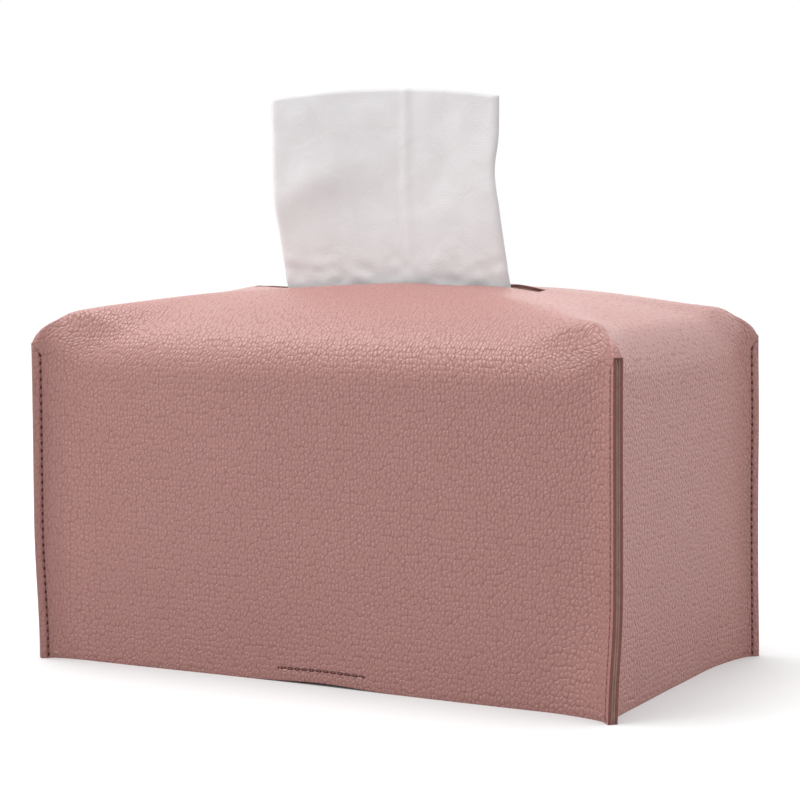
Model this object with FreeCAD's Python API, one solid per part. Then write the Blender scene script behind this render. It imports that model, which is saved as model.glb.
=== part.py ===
import FreeCAD
import Part

import math
import os

# A soft rectangular cover for a tissue carton, sewn from one cross-shaped blank of
# grained leather with a bonded lining. The blank bends over at the top, and its four
# walls are sewn together at the corners in seams that stand outwards. Two belts
# under the open bottom close on each other and keep the carton in. A folded tissue
# stands in the slot in the top.
# Millimetres. The origin is on the floor under the middle of the cover, +X runs
# along the front, +Y from front to back and +Z up.

# Cover, outside sizes
LENGTH = 240.0            # front wall, from corner to corner
DEPTH = 130.0             # end wall, from corner to corner
SPRING_HEIGHT = 124.0     # floor to where the walls start to bend over; the corner seams stop here
CROWN_RISE = 23.0         # from there to the highest point of the top
RIDGE_LIFT = 0.5          # how far the long arch clears the cross arch at the middle
END_FOLD_RADIUS = 14.0    # bend from an end wall into the top
SIDE_FOLD_RADIUS = 18.0   # bend from the front or back wall into the top
FOLD_LIMIT = 0.92         # largest fold radius, as a share of the rise

# Sheet that the blank is cut from
LEATHER = 1.0
GLUE_LINE = 0.1
LINING = 0.6

# Corner seams: two wall edges turned outwards along the diagonal, lining to lining
SEAM_ALLOWANCE = 6.0      # from the corner to the cut edge
SEAM_BEND_RADIUS = 3.0
SEAM_GAP = 0.2            # between the two lining leaves
SEAM_STITCH_INSET = 3.0   # from the cut edge to the row of stitches
SEAM_END_MARGIN = 2.0     # bare seam above the top stitch and below the bottom one

# Pinched corners: above each seam the blank stays folded, in a ridge that runs into the top
PINCH_RUN = 8.0           # from the corner inwards to where the ridge meets the top
PINCH_STEP = 2.0          # height of the ridge's outer end, above the seam
PINCH_BULGE = 0.7         # how far the ridge curves above a straight line
PINCH_ROUND = 1.2         # rounding along the ridge

# Slot in the top
SLOT_LENGTH = 126.0
SLOT_WIDTH = 10.0

# Sewing thread
STITCH_LENGTH = 2.3
STITCH_SPACE = 0.8
STITCH_WIDTH = 0.7
STITCH_RISE = 0.35

# Belts under the open bottom
BELT_WIDTH = 40.0
BELT_SHIFT = 2.8          # the belts are sewn on this far to the right of the middle
BELT_THICKNESS = 1.4
BELT_FLOOR_GAP = 0.6
BELT_BEND_RADIUS = 0.8    # inside of the bend at the wall's foot
BELT_ROOT = 0.4           # straight end of the free belt, above the bend
BELT_OVERLAP = 28.0       # front belt's tip to back belt's tip
BELT_TIP_RADIUS = 8.0
BELT_RUN_GAP = 0.3        # between the free belt and what it swings past
TAB_HEIGHT = 9.0          # sewn end of a belt, on the lining
TAB_CORNER_RADIUS = 3.0
TAB_STITCH_RISE = 1.4     # from the tab's lower edge to the row of stitches
TAB_STITCH_MARGIN = 1.4   # from the belt's side to the end of the row
RAMP_START = 16.0         # from the back wall's lining to where the back belt climbs
RAMP_LENGTH = 20.0
RAMP_BEND_RADIUS = 12.0

# Hook and loop pads that fasten the belts
PAD_LENGTH = 22.0
PAD_WIDTH = 32.0
PAD_THICKNESS = 1.1
PAD_CORNER_RADIUS = 2.0
PAD_GAP = 0.2
PAD_STITCH_INSET = 2.0

# Tissue, folded to two layers
TISSUE_LENGTH = 100.0     # lower edge to the top of the crease
TISSUE_ABOVE_CROWN = 75.5
TISSUE_THICKNESS = 2.4    # both layers
TISSUE_SIDE_ROOM = 13.0   # from a tissue edge to the slot's end
TISSUE_LIP_GAP = 0.3
TISSUE_CREASE_SHIFT = 8.0  # the crease stands this far to the right of the middle
TISSUE_LEAN = 5.0         # the top edge stands this far to the left of the foot
TISSUE_CORNER_DROP = 3.0  # the top corners lie this far below the top of the crease
TISSUE_BULGE = 0.7        # how far each half curves out of its plane

# Values that several pieces share
CROWN_HEIGHT = SPRING_HEIGHT + CROWN_RISE
WALL = LEATHER + GLUE_LINE + LINING
SEAM_HALF = WALL + SEAM_GAP / 2
STITCH_PITCH = STITCH_LENGTH + STITCH_SPACE
HALF_TURN = math.pi / 8   # half of the 45 degree bend into a seam
DIAGONAL = math.sqrt(0.5)

UP = FreeCAD.Vector(0, 0, 1)
ORIGIN = FreeCAD.Vector(0, 0, 0)


def line(a, b):
    return Part.LineSegment(a, b).toShape()


def arc(a, middle, b):
    return Part.Arc(a, middle, b).toShape()


def face_of(edges):
    return Part.Face(Part.Wire(edges))


def block(x0, x1, y0, y1, z0, z1):
    corner = FreeCAD.Vector(x0, y0, z0)
    return Part.makeBox(x1 - x0, y1 - y0, z1 - z0, corner)


def edges_along(solid, direction):
    """Straight edges of a solid that run along a direction."""
    found = []
    for edge in solid.Edges:
        if isinstance(edge.Curve, Part.Line) and abs(edge.Curve.Direction.dot(direction)) > 0.999:
            found.append(edge)
    return found


# Blank: four walls and the crowned top


def wall_path(half_width, distance, inset):
    """A wall in plan, from seam tip to seam tip, on a face `inset` inside its outer face.

    The wall faces -Y. Its ends bend outwards, about centres that all faces share.
    """
    radius = SEAM_BEND_RADIUS + inset
    bend_x = half_width - SEAM_HALF / DIAGONAL - SEAM_BEND_RADIUS * math.tan(HALF_TURN)
    bend_y = -distance - SEAM_BEND_RADIUS

    def right_and_left(x, y):
        return FreeCAD.Vector(x, y, 0), FreeCAD.Vector(-x, y, 0)

    def on_bend(angle):
        return right_and_left(bend_x + radius * math.cos(angle), bend_y + radius * math.sin(angle))

    start = on_bend(math.pi / 2)
    middle = on_bend(math.pi / 2 - HALF_TURN)
    end = on_bend(math.pi / 4)
    along_seam = ((end[0].x - half_width) - (end[0].y + distance)) * DIAGONAL
    reach = (SEAM_ALLOWANCE - along_seam) * DIAGONAL
    tip = right_and_left(end[0].x + reach, end[0].y - reach)
    return [
        line(tip[1], end[1]),
        arc(end[1], middle[1], start[1]),
        line(start[1], start[0]),
        arc(start[0], middle[0], end[0]),
        line(end[0], tip[0]),
    ]


def wall(half_width, distance, outer_inset, inner_inset, turn):
    outer = wall_path(half_width, distance, outer_inset)
    inner = wall_path(half_width, distance, inner_inset)
    caps = [
        line(outer[0].Vertexes[0].Point, inner[0].Vertexes[0].Point),
        line(outer[-1].Vertexes[-1].Point, inner[-1].Vertexes[-1].Point),
    ]
    solid = face_of(Part.__sortEdges__(outer + inner + caps)).extrude(UP * SPRING_HEIGHT)
    solid.rotate(ORIGIN, UP, turn)
    return solid


def fold_for(radius, rise):
    """A fold's radius, kept small enough for the rise of the top."""
    return min(radius, FOLD_LIMIT * rise)


def arch_face(half_width, fold_radius, rise, inset):
    """Section of the top in the XZ plane: a crown arc that runs into a fold arc at each end."""
    fold = fold_for(fold_radius, rise)
    fold_x = half_width - fold
    crown_radius = (fold_x ** 2 + rise ** 2 - fold ** 2) / (2 * (rise - fold))
    crown_z = SPRING_HEIGHT + rise - crown_radius
    meeting_angle = math.atan2(SPRING_HEIGHT - crown_z, fold_x)

    def point(x, z):
        return FreeCAD.Vector(x, 0, z)

    def on_fold(angle, side):
        radius = fold - inset
        return point(side * (fold_x + radius * math.cos(angle)), SPRING_HEIGHT + radius * math.sin(angle))

    right = [on_fold(share * meeting_angle, 1) for share in (0, 0.5, 1)]
    left = [on_fold(share * meeting_angle, -1) for share in (0, 0.5, 1)]
    return face_of([
        arc(right[0], right[1], right[2]),
        arc(right[2], point(0, SPRING_HEIGHT + rise - inset), left[2]),
        arc(left[2], left[1], left[0]),
        line(left[0], right[0]),
    ])


def vault(inset):
    """Space under the top, above the spring height: two arched sections crossing at right angles."""
    along = arch_face(LENGTH / 2, END_FOLD_RADIUS, CROWN_RISE + RIDGE_LIFT, inset)
    along.translate(FreeCAD.Vector(0, -DEPTH, 0))
    across = arch_face(DEPTH / 2, SIDE_FOLD_RADIUS, CROWN_RISE, inset)
    across.rotate(ORIGIN, UP, 90)
    across.translate(FreeCAD.Vector(-LENGTH, 0, 0))
    long_arch = along.extrude(FreeCAD.Vector(0, 2 * DEPTH, 0))
    return long_arch.common(across.extrude(FreeCAD.Vector(2 * LENGTH, 0, 0)))


def pinched_corner(side_x, side_y):
    """The folded blank above one corner seam: a ridge as thick as the seam, open to the space under the top."""
    out = FreeCAD.Vector(side_x, side_y, 0) * DIAGONAL
    side = UP.cross(out)
    corner = FreeCAD.Vector(side_x * LENGTH / 2, side_y * DEPTH / 2, SPRING_HEIGHT)
    end_fold = fold_for(END_FOLD_RADIUS, CROWN_RISE + RIDGE_LIFT)
    side_fold = fold_for(SIDE_FOLD_RADIUS, CROWN_RISE)
    from_wall = PINCH_RUN * DIAGONAL
    climb = min(math.sqrt(fold ** 2 - (fold - from_wall) ** 2) for fold in (end_fold, side_fold))
    tip_foot = corner + out * SEAM_ALLOWANCE
    tip = tip_foot + UP * PINCH_STEP
    foot = corner - out * PINCH_RUN
    end = foot + UP * climb
    upward = (tip - end).cross(side).normalize()
    crest = (tip + end) / 2 + upward * PINCH_BULGE
    profile = face_of([line(foot, tip_foot), line(tip_foot, tip), arc(tip, crest, end), line(end, foot)])
    profile.translate(-side * SEAM_HALF)
    solid = profile.extrude(side * 2 * SEAM_HALF)
    ridge = [edge for edge in solid.Edges if isinstance(edge.Curve, Part.Circle)]
    return solid.makeFillet(PINCH_ROUND, ridge).cut(vault(LEATHER))


def slot_cutter():
    radius = SLOT_WIDTH / 2
    end_x = SLOT_LENGTH / 2 - radius

    def point(x, y):
        return FreeCAD.Vector(x, y, SPRING_HEIGHT)

    outline = face_of([
        line(point(-end_x, -radius), point(end_x, -radius)),
        arc(point(end_x, -radius), point(end_x + radius, 0), point(end_x, radius)),
        line(point(end_x, radius), point(-end_x, radius)),
        arc(point(-end_x, radius), point(-end_x - radius, 0), point(-end_x, -radius)),
    ])
    return outline.extrude(UP * CROWN_HEIGHT)


def sheet_layer(outer_inset, inner_inset, extras=()):
    """One layer of the folded blank, between two depths below the cover's outer face."""
    walls = [
        wall(LENGTH / 2, DEPTH / 2, outer_inset, inner_inset, 0),
        wall(DEPTH / 2, LENGTH / 2, outer_inset, inner_inset, 90),
        wall(LENGTH / 2, DEPTH / 2, outer_inset, inner_inset, 180),
        wall(DEPTH / 2, LENGTH / 2, outer_inset, inner_inset, 270),
    ]
    top = vault(outer_inset).cut(vault(inner_inset))
    return top.multiFuse(walls + list(extras)).removeSplitter().cut(slot_cutter())


# Stitches: short lengths of thread, each lying on the face that it is sewn into and dipping at both ends


def stitch(middle, along, outward):
    side = along.cross(outward)
    base = middle - side * (STITCH_WIDTH / 2)
    foot = along * (STITCH_LENGTH / 2)
    crest = along * (STITCH_LENGTH / 2 - STITCH_RISE)
    rise = outward * STITCH_RISE
    corners = [base - foot, base - crest + rise, base + crest + rise, base + foot]
    profile = Part.Face(Part.makePolygon(corners + corners[:1]))
    return profile.extrude(side * STITCH_WIDTH)


def stitch_row(start, end, outward):
    """As many stitches as fit between two points, centred on the row."""
    span = end - start
    along = FreeCAD.Vector(span).normalize()
    count = int((span.Length + STITCH_SPACE) / STITCH_PITCH)
    first = (span.Length - (count - 1) * STITCH_PITCH) / 2
    return [stitch(start + along * (first + i * STITCH_PITCH), along, outward) for i in range(count)]


def seam_stitches(side_x, side_y):
    """Rows on both faces of one corner seam, from the hem to the seam's top."""
    corner = FreeCAD.Vector(side_x * LENGTH / 2, side_y * DEPTH / 2, 0)
    out_of_corner = FreeCAD.Vector(side_x, side_y, 0) * DIAGONAL
    row = corner + out_of_corner * (SEAM_ALLOWANCE - SEAM_STITCH_INSET)
    solids = []
    for outward in (UP.cross(out_of_corner), out_of_corner.cross(UP)):
        foot = row + outward * SEAM_HALF
        start = foot + UP * SEAM_END_MARGIN
        end = foot + UP * (SPRING_HEIGHT - SEAM_END_MARGIN)
        solids += stitch_row(start, end, outward)
    return Part.makeCompound(solids)


# Belts: each is one strap, sewn to the lining by its tab and free from the bend on

LINING_FACE = DEPTH / 2 - WALL
BEND_OUTSIDE = BELT_BEND_RADIUS + BELT_THICKNESS
ROOT_TOP = BELT_FLOOR_GAP + BEND_OUTSIDE + BELT_ROOT
TAB_FOOT = ROOT_TOP + BELT_RUN_GAP
FRONT_BELT_TOP = BELT_FLOOR_GAP + BELT_THICKNESS
BACK_BELT_FOOT = FRONT_BELT_TOP + 2 * PAD_THICKNESS + PAD_GAP
BELT_LEFT = BELT_SHIFT - BELT_WIDTH / 2
BELT_RIGHT = BELT_SHIFT + BELT_WIDTH / 2


def strip_side(points, radii, offset):
    """A bent line in the YZ plane, `offset` to the left of the given points, with tangent arcs at the bends."""
    def left_of(a, b):
        run = (b - a).normalize()
        return FreeCAD.Vector(0, -run.z, run.y)

    ends = [points[0] + left_of(points[0], points[1]) * offset]
    edges = []
    for before, corner, after, radius in zip(points, points[1:], points[2:], radii):
        normal_in, normal_out = left_of(before, corner), left_of(corner, after)
        half_angle = normal_in.getAngle(normal_out) / 2
        bisector = (normal_in + normal_out).normalize()
        shifted = corner + bisector * (offset / math.cos(half_angle))
        turns_left = normal_in.cross(normal_out).x > 0
        bend = radius - offset if turns_left else radius + offset
        reach = bend * math.tan(half_angle)
        start = shifted - (corner - before).normalize() * reach
        end = shifted + (after - corner).normalize() * reach
        to_centre = bisector if turns_left else -bisector
        middle = shifted + to_centre * (bend / math.cos(half_angle) - bend)
        edges += [line(ends[-1], start), arc(start, middle, end)]
        ends.append(end)
    last = points[-1] + left_of(points[-2], points[-1]) * offset
    return edges + [line(ends[-1], last)]


def strap(points, radii):
    """A flat strap as wide as a belt, lying on the left of the given points, with a rounded tip."""
    lower = strip_side(points, radii, 0)
    upper = strip_side(points, radii, BELT_THICKNESS)
    caps = [
        line(lower[0].Vertexes[0].Point, upper[0].Vertexes[0].Point),
        line(lower[-1].Vertexes[-1].Point, upper[-1].Vertexes[-1].Point),
    ]
    profile = face_of(Part.__sortEdges__(lower + upper + caps))
    profile.translate(FreeCAD.Vector(BELT_LEFT, 0, 0))
    solid = profile.extrude(FreeCAD.Vector(BELT_WIDTH, 0, 0))
    tip_y = points[-1].y
    tip_edges = [edge for edge in edges_along(solid, UP) if abs(edge.CenterOfMass.y - tip_y) < BELT_THICKNESS]
    return solid.makeFillet(BELT_TIP_RADIUS, tip_edges)


def belt_point(y, z):
    return FreeCAD.Vector(0, y, z)


def front_belt():
    """Lower belt, from the bend at the front wall to its tip behind the middle."""
    root = -LINING_FACE + BELT_RUN_GAP
    tip = BELT_OVERLAP / 2
    points = [belt_point(root, ROOT_TOP), belt_point(root, BELT_FLOOR_GAP), belt_point(tip, BELT_FLOOR_GAP)]
    return strap(points, [BEND_OUTSIDE])


def back_belt():
    """Upper belt, which leaves the back wall as the front belt does and climbs to lie on its pad.

    It is drawn as a belt of the front wall and then turned round.
    """
    root = -LINING_FACE + BELT_RUN_GAP
    ramp = -LINING_FACE + RAMP_START
    points = [
        belt_point(root, ROOT_TOP),
        belt_point(root, BELT_FLOOR_GAP),
        belt_point(ramp, BELT_FLOOR_GAP),
        belt_point(ramp + RAMP_LENGTH, BACK_BELT_FOOT),
        belt_point(BELT_OVERLAP / 2, BACK_BELT_FOOT),
    ]
    solid = strap(points, [BEND_OUTSIDE, RAMP_BEND_RADIUS, RAMP_BEND_RADIUS])
    solid.rotate(FreeCAD.Vector(BELT_SHIFT, 0, 0), UP, 180)
    return solid


def belt_tab(side_y):
    """Sewn end of a belt, flat on the lining just above the bend."""
    outer = side_y * LINING_FACE
    inner = side_y * (LINING_FACE - BELT_THICKNESS)
    top = TAB_FOOT + TAB_HEIGHT
    solid = block(BELT_LEFT, BELT_RIGHT, min(outer, inner), max(outer, inner), TAB_FOOT, top)
    across = edges_along(solid, FreeCAD.Vector(0, 1, 0))
    top_edges = [edge for edge in across if edge.CenterOfMass.z > top - TAB_HEIGHT / 2]
    return solid.makeFillet(TAB_CORNER_RADIUS, top_edges)


def belt_stitches(side_y):
    """The row that holds a tab: one side on the wall's outer face, the other on the tab."""
    height = TAB_FOOT + TAB_STITCH_RISE
    left = BELT_LEFT + TAB_STITCH_MARGIN
    right = BELT_RIGHT - TAB_STITCH_MARGIN
    solids = []
    for y, outward in ((DEPTH / 2, 1), (LINING_FACE - BELT_THICKNESS, -1)):
        start = FreeCAD.Vector(left, side_y * y, height)
        end = FreeCAD.Vector(right, side_y * y, height)
        solids += stitch_row(start, end, FreeCAD.Vector(0, side_y * outward, 0))
    return Part.makeCompound(solids)


def pad(foot):
    left = BELT_SHIFT - PAD_WIDTH / 2
    solid = block(left, left + PAD_WIDTH, -PAD_LENGTH / 2, PAD_LENGTH / 2, foot, foot + PAD_THICKNESS)
    return solid.makeFillet(PAD_CORNER_RADIUS, edges_along(solid, UP))


def pad_stitches(height, outward):
    """A rectangle of stitches on the bare face of a belt, which holds the pad on its other face."""
    half_x = PAD_WIDTH / 2 - PAD_STITCH_INSET
    half_y = PAD_LENGTH / 2 - PAD_STITCH_INSET
    corners = [(-half_x, -half_y), (half_x, -half_y), (half_x, half_y), (-half_x, half_y)]
    places = [FreeCAD.Vector(BELT_SHIFT + x, y, height) for x, y in corners]
    solids = []
    for start, end in zip(places, places[1:] + places[:1]):
        clear = (end - start).normalize() * STITCH_WIDTH
        solids += stitch_row(start + clear, end - clear, outward)
    return Part.makeCompound(solids)


# Tissue


def tissue():
    """A sheet folded to two layers, with a crease that points forwards, standing in the slot.

    In plan it fills the slot from lip to lip: the crease is at the front lip, the edges at the back.
    """
    half_width = SLOT_LENGTH / 2 - TISSUE_SIDE_ROOM
    reach = half_width + TISSUE_LEAN
    front = -SLOT_WIDTH / 2 + TISSUE_LIP_GAP
    back = SLOT_WIDTH / 2 - TISSUE_LIP_GAP
    top = CROWN_HEIGHT + TISSUE_ABOVE_CROWN
    foot = top - TISSUE_LENGTH

    def plan_side(crease_y, edge_y):
        crease = FreeCAD.Vector(TISSUE_CREASE_SHIFT, crease_y, foot)
        left = FreeCAD.Vector(-reach, edge_y, foot)
        right = FreeCAD.Vector(reach, edge_y, foot)
        bulge = FreeCAD.Vector(0, TISSUE_BULGE, 0)
        return [
            arc(left, (left + crease) / 2 + bulge, crease),
            arc(crease, (crease + right) / 2 + bulge, right),
        ]

    front_side = plan_side(front, back - TISSUE_THICKNESS)
    back_side = plan_side(front + TISSUE_THICKNESS, back)
    caps = [
        line(front_side[0].Vertexes[0].Point, back_side[0].Vertexes[0].Point),
        line(front_side[-1].Vertexes[-1].Point, back_side[-1].Vertexes[-1].Point),
    ]
    plan = face_of(Part.__sortEdges__(front_side + back_side + caps))
    folded = plan.extrude(UP * TISSUE_LENGTH)

    def point(x, z):
        return FreeCAD.Vector(x, -SLOT_WIDTH, z)

    corner_z = top - TISSUE_CORNER_DROP
    left_foot, right_foot = point(-half_width, foot), point(half_width, foot)
    left_top = point(-half_width - TISSUE_LEAN, corner_z)
    right_top = point(half_width - TISSUE_LEAN, corner_z)
    outline = face_of([
        line(left_foot, right_foot),
        line(right_foot, right_top),
        arc(right_top, point(-TISSUE_LEAN, top), left_top),
        line(left_top, left_foot),
    ])
    return folded.common(outline.extrude(FreeCAD.Vector(0, 2 * SLOT_WIDTH, 0)))


def main():
    corners = [pinched_corner(side_x, side_y) for side_x in (-1, 1) for side_y in (-1, 1)]
    nodes = {
        "leather_cover": sheet_layer(0, LEATHER, corners),
        "lining": sheet_layer(LEATHER + GLUE_LINE, WALL),
        "seam_stitches_front_left": seam_stitches(-1, -1),
        "seam_stitches_front_right": seam_stitches(1, -1),
        "seam_stitches_back_left": seam_stitches(-1, 1),
        "seam_stitches_back_right": seam_stitches(1, 1),
        "front_belt_tab": belt_tab(-1),
        "front_belt_stitches": belt_stitches(-1),
        "front_belt": front_belt(),
        "loop_pad": pad(FRONT_BELT_TOP),
        "loop_pad_stitches": pad_stitches(BELT_FLOOR_GAP, -UP),
        "back_belt_tab": belt_tab(1),
        "back_belt_stitches": belt_stitches(1),
        "back_belt": back_belt(),
        "hook_pad": pad(FRONT_BELT_TOP + PAD_THICKNESS + PAD_GAP),
        "hook_pad_stitches": pad_stitches(BACK_BELT_FOOT + BELT_THICKNESS, UP),
        "tissue": tissue(),
    }
    os.makedirs("parts", exist_ok=True)
    for name, shape in nodes.items():
        shape.exportStep(os.path.join("parts", name + ".step"))
        box = shape.BoundBox
        print(f"{name}: {len(shape.Solids)} solids, valid {shape.isValid()}, {shape.Volume:.1f} mm3, "
              f"x {box.XMin:.2f} to {box.XMax:.2f}, y {box.YMin:.2f} to {box.YMax:.2f}, "
              f"z {box.ZMin:.2f} to {box.ZMax:.2f}")


main()
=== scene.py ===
import math

import bmesh
import bpy
from mathutils import Matrix, Vector, noise


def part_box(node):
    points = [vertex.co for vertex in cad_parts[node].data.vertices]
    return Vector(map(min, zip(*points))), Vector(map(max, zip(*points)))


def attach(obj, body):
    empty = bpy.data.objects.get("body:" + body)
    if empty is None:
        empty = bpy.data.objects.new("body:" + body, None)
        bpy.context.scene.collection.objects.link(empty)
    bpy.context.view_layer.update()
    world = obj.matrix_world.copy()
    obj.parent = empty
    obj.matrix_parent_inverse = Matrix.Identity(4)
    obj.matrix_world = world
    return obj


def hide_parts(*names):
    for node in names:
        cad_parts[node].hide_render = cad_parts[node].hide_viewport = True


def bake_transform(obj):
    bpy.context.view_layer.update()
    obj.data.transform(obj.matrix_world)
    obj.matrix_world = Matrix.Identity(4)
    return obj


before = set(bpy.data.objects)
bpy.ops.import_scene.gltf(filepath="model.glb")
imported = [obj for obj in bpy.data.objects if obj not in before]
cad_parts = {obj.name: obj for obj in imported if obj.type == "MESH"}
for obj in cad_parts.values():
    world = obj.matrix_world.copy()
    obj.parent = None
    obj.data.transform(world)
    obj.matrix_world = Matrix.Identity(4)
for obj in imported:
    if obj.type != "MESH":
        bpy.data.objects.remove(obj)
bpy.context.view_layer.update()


# Leather cover
# The outer skin is one blank of pebbled leather, bent down all round from a crowned top into four walls.
# The walls turn out at the corners into flat double seams. Hem, seam edges and slot lips are cut raw.

leather_thickness = 0.001
leather_rim = 0.0002  # rounding of the cut edges
seam_reach = 0.006  # from the corner of the walls to the cut edge of the seam
seam_half = 0.0018  # from the middle of the seam to the outer face of either leaf
seam_out = (seam_reach + seam_half) / math.sqrt(2)
half_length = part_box("leather_cover")[1].x - seam_out
half_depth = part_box("leather_cover")[1].y - seam_out
crown_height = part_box("leather_cover")[1].z
wall_height = 0.124  # the seams stop here and the walls fold over
end_fold = 0.0135  # radius of the fold above an end wall
side_fold = 0.0185  # radius of the fold above the front and back walls
slot_half_length = 0.063
slot_half_width = 0.005
corner_cut = seam_half * math.sqrt(2)
leaf_length = seam_reach + seam_half
wall_cell = 0.0050  # spacing of the wall's rows and columns before smoothing
fold_rings = 10
crown_rings = 16
leaf_steps = 4
fold_turn = math.radians(80)  # the rings over the fold run through this much of it
crown_spacing = (1.05, 1.2)  # above 1, the rings on the crown start out closer together
tolerance = 0.0001  # lengths that differ by less count as equal


def choose(piece, kind, wanted):
    """Selects the vertices, edges or faces of a piece in edit mode that pass a test."""
    bpy.ops.mesh.select_mode(type=kind)
    bpy.ops.mesh.select_all(action="DESELECT")
    form = bmesh.from_edit_mesh(piece.data)
    members = {"VERT": form.verts, "EDGE": form.edges, "FACE": form.faces}[kind]
    for member in members:
        if wanted(member):
            member.select_set(True)
    bmesh.update_edit_mesh(piece.data)


def length_between(low, high, along):
    """A test for edges of a length that run along X, Y or Z."""
    def test(edge):
        run = edge.verts[1].co - edge.verts[0].co
        return low < run.length < high and abs(run[along]) > 0.99 * run.length
    return test


def smooth(share):
    """Goes from 0 to 1 as share does, level at both ends."""
    share = min(max(share, 0.0), 1.0)
    return share * share * (3 - 2 * share)


def diagonal_at(reach, width):
    """A test for the short edges across a corner whose middle is so far out, X and Y added."""
    def test(edge):
        run = edge.verts[1].co - edge.verts[0].co
        middle = (edge.verts[0].co + edge.verts[1].co) / 2
        out = abs(middle.x) + abs(middle.y)
        return max(abs(run.length - width), abs(out - reach), abs(run.z)) < tolerance
    return test


# The outline of the hem, with the double seams drawn out from the cut corners.
bpy.ops.mesh.primitive_plane_add(size=2.0, location=(0, 0, 0))
leather = bpy.context.object
leather.name = "cover_leather"
bpy.ops.object.mode_set(mode="EDIT")
bpy.ops.transform.resize(value=(half_length, half_depth, 1.0))
bpy.ops.mesh.bevel(offset=corner_cut, offset_type="OFFSET", segments=1, affect="VERTICES")
bpy.ops.mesh.select_all(action="SELECT")
bpy.ops.mesh.delete(type="ONLY_FACE")
corner_reach = half_length + half_depth - corner_cut
leaf_out = leaf_length / math.sqrt(2)
for side_x in (-1, 1):
    for side_y in (-1, 1):
        at_corner = diagonal_at(corner_reach, 2 * seam_half)
        choose(leather, "EDGE", lambda edge: at_corner(edge) and edge.verts[0].co.x * side_x > 0
               and edge.verts[0].co.y * side_y > 0)
        bpy.ops.mesh.extrude_edges_move(
            TRANSFORM_OT_translate={"value": (side_x * leaf_out, side_y * leaf_out, 0)})
bpy.ops.mesh.select_all(action="SELECT")
bpy.ops.mesh.delete(type="ONLY_FACE")
choose(leather, "EDGE", diagonal_at(corner_reach, 2 * seam_half))
bpy.ops.mesh.delete(type="EDGE")
choose(leather, "EDGE", length_between(half_length, 3 * half_length, 0))
bpy.ops.mesh.subdivide(number_cuts=round(2 * half_length / wall_cell))
choose(leather, "EDGE", length_between(half_depth, 3 * half_depth, 1))
bpy.ops.mesh.subdivide(number_cuts=round(2 * half_depth / wall_cell))
choose(leather, "EDGE", lambda edge: abs(edge.calc_length() - leaf_length) < tolerance)
bpy.ops.mesh.subdivide(number_cuts=leaf_steps - 1)

# The walls, drawn up from the hem.
bpy.ops.mesh.select_all(action="SELECT")
bpy.ops.mesh.extrude_edges_move(TRANSFORM_OT_translate={"value": (0, 0, wall_height)})
choose(leather, "EDGE", length_between(0.9 * wall_height, 1.1 * wall_height, 2))
bpy.ops.mesh.subdivide(number_cuts=round(wall_height / wall_cell))

# The top: rings drawn in from the walls to the slot, level over the fold above the end walls.
ring_plan = [(half_length, half_depth)]
ring_rise = 0.001  # the rings are only kept apart here, and get their heights below
choose(leather, "EDGE", lambda edge: min(v.co.z for v in edge.verts) > wall_height - tolerance)
for ring in range(1, fold_rings + crown_rings + 1):
    if ring <= fold_rings:
        climb = end_fold * math.sin(fold_turn * ring / fold_rings)
        plan = (half_length - end_fold + math.sqrt(end_fold ** 2 - climb ** 2),
                half_depth - side_fold + math.sqrt(side_fold ** 2 - climb ** 2))
        fold_plan = plan
    else:
        share = (ring - fold_rings) / crown_rings
        plan = (fold_plan[0] + (slot_half_length - fold_plan[0]) * share ** crown_spacing[0],
                fold_plan[1] + (slot_half_width - fold_plan[1]) * share ** crown_spacing[1])
    bpy.ops.mesh.extrude_edges_move(TRANSFORM_OT_translate={"value": (0, 0, ring_rise)})
    bpy.ops.transform.resize(value=(plan[0] / ring_plan[-1][0], plan[1] / ring_plan[-1][1], 1.0),
                             center_override=(0, 0, 0))
    ring_plan.append(plan)


# The seams are open below the top: the narrow faces between the two leaves are taken out.
def in_seam_gap(face):
    """Is a face one of these? They face along a diagonal, where the product of X and Y is 0.5."""
    middle = face.calc_center_median()
    out_x = face.normal.x * math.copysign(1, middle.x)
    out_y = face.normal.y * math.copysign(1, middle.y)
    return middle.z < wall_height and out_x * out_y > 0.3


choose(leather, "FACE", in_seam_gap)
bpy.ops.mesh.delete(type="FACE")
bpy.ops.mesh.select_all(action="SELECT")
bpy.ops.mesh.normals_make_consistent(inside=False)
bpy.ops.object.mode_set(mode="OBJECT")
square_ends = leather.data.attributes.new("crease_vert", "FLOAT", "POINT")
for vertex in leather.data.vertices:
    at_top = abs(vertex.co.z - wall_height) < tolerance
    at_tip = abs(vertex.co.x) + abs(vertex.co.y) > corner_reach + math.sqrt(2) * leaf_length - 5 * tolerance
    square_ends.data[vertex.index].value = 1.0 if at_top and at_tip else 0.0


def wall_place(x, y):
    """On the plain outline: is a point on a long wall, how far from that wall's middle it is, and how far
    that wall runs straight before its seam."""
    on_side = abs(x) - half_length < abs(y) - half_depth
    along, root = (abs(x), half_length - corner_cut) if on_side else (abs(y), half_depth - corner_cut)
    if along > root:
        along = root + math.sqrt(2) * (along - root)
    return on_side, along, root


# The seam map: across the wall from the cut edge, and up the wall. The needle holes follow it.
seam_map = leather.data.uv_layers.new(name="seam")
for loop in leather.data.loops:
    place = leather.data.vertices[loop.vertex_index].co
    if place.z > wall_height + tolerance:
        seam_map.data[loop.index].uv = (half_depth, place.z)
    else:
        on_side, along, root = wall_place(place.x, place.y)
        seam_map.data[loop.index].uv = (root + leaf_length - along, place.z)


cross_lift = 0.0015  # how far the arch from front to back clears the one from end to end
apex_calm = 0.006  # the ridge is left sharp within this depth of the highest point
apex_share = 0.02  # but for this share of its softness


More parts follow.
